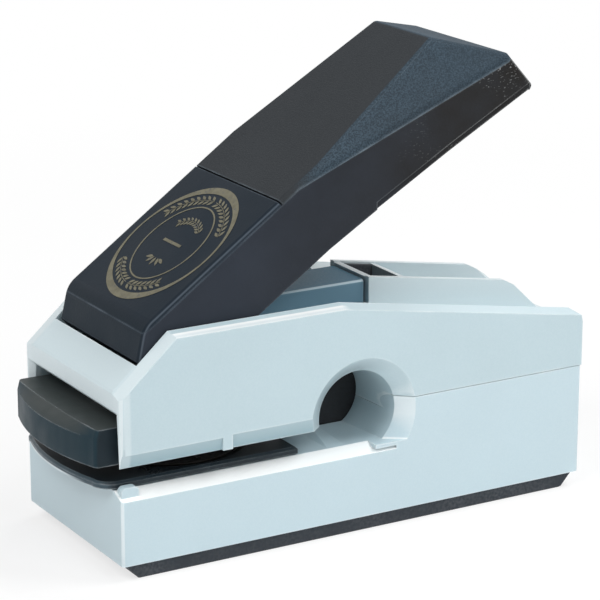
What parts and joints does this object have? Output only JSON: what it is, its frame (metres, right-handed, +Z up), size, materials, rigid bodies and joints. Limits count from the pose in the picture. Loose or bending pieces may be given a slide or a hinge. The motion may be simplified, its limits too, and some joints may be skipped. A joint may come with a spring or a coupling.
{
  "type": "seal embosser",
  "caption": "Desk seal embosser: a lever-operated hand press with a round paper-embossing die pair, pale housing and dark sloping handle.",
  "frame": {"origin": "middle of the base footprint, on the desk face of the foot pad", "axes": "+X to the rear along the press, +Y to the left-hand side seen from the front, +Z up"},
  "size_m": [0.139, 0.052, 0.1188],
  "materials": {
    "shell_plastic": "satin",
    "smoked_plastic": "satin",
    "foot_rubber": "matte",
    "handle_plastic": "satin",
    "grip_rubber": "matte",
    "die_black": "satin",
    "frame_iron": "satin",
    "plate_steel": "brushed",
    "pin_steel": "polished",
    "bronze": "satin",
    "die_brass": "satin"
  },
  "bodies": {
    "press_body": {"foot_pad": "foot_rubber", "bottom_plate": "plate_steel", "base_shell": "shell_plastic", "c_frame": "frame_iron", "anvil_plate": "plate_steel", "upper_housing": "shell_plastic", "guide_bush": "bronze", "stop_buffer": "foot_rubber", "spine_cover": "smoked_plastic", "pivot_pin": "pin_steel", "pivot_clips": "pin_steel", "frame_screws": "pin_steel", "housing_screws": "pin_steel", "anvil_screws": "pin_steel", "return_spring": "pin_steel"},
    "handle": {"handle_shell": "handle_plastic", "front_panel": "handle_plastic", "grip_skin": "grip_rubber", "lever": "plate_steel", "handle_screws": "pin_steel", "lever_bushes": "bronze", "roller_pin": "pin_steel", "roller_spacers": "bronze", "roller_clips": "pin_steel"},
    "roller": {"cam_roller": "pin_steel"},
    "ram": {"ram_platen": "plate_steel", "ram_shaft": "pin_steel", "ram_cap": "pin_steel"},
    "upper_cartridge": {"upper_die_holder": "die_black", "upper_die": "die_black"},
    "lower_cartridge": {"lower_die_tray": "die_black", "lower_die": "die_brass"}
  },
  "joints": [
    {"name": "handle_press", "type": "hinge", "parent": "press_body", "child": "handle", "pos_m": [-0.05, 0, 0.054], "axis": [0, 1, 0], "range_deg": [0, 22.5]},
    {"name": "roller_spin", "type": "hinge", "parent": "handle", "child": "roller", "pos_m": [-0.04045, 0, 0.0559], "axis": [0, 1, 0], "continuous": true},
    {"name": "ram_slide", "type": "slide", "parent": "press_body", "child": "ram", "axis": [0, 0, -1], "range_m": [0, 0.0038], "stiffness_N_per_m": 615, "springref_m": -0.006, "deforming": ["return_spring"]},
    {"name": "upper_cartridge_slide", "type": "slide", "parent": "ram", "child": "upper_cartridge", "axis": [-1, 0, 0], "range_m": [0, 0.038]},
    {"name": "cartridge_slide", "type": "slide", "parent": "press_body", "child": "lower_cartridge", "axis": [-1, 0, 0], "range_m": [0, 0.038]}
  ],
  "couplings": [
    {"joint": "ram_slide", "follows": "handle_press", "m_per_rad": 0.009676},
    {"joint": "upper_cartridge_slide", "follows": "cartridge_slide", "ratio": 1}
  ]
}
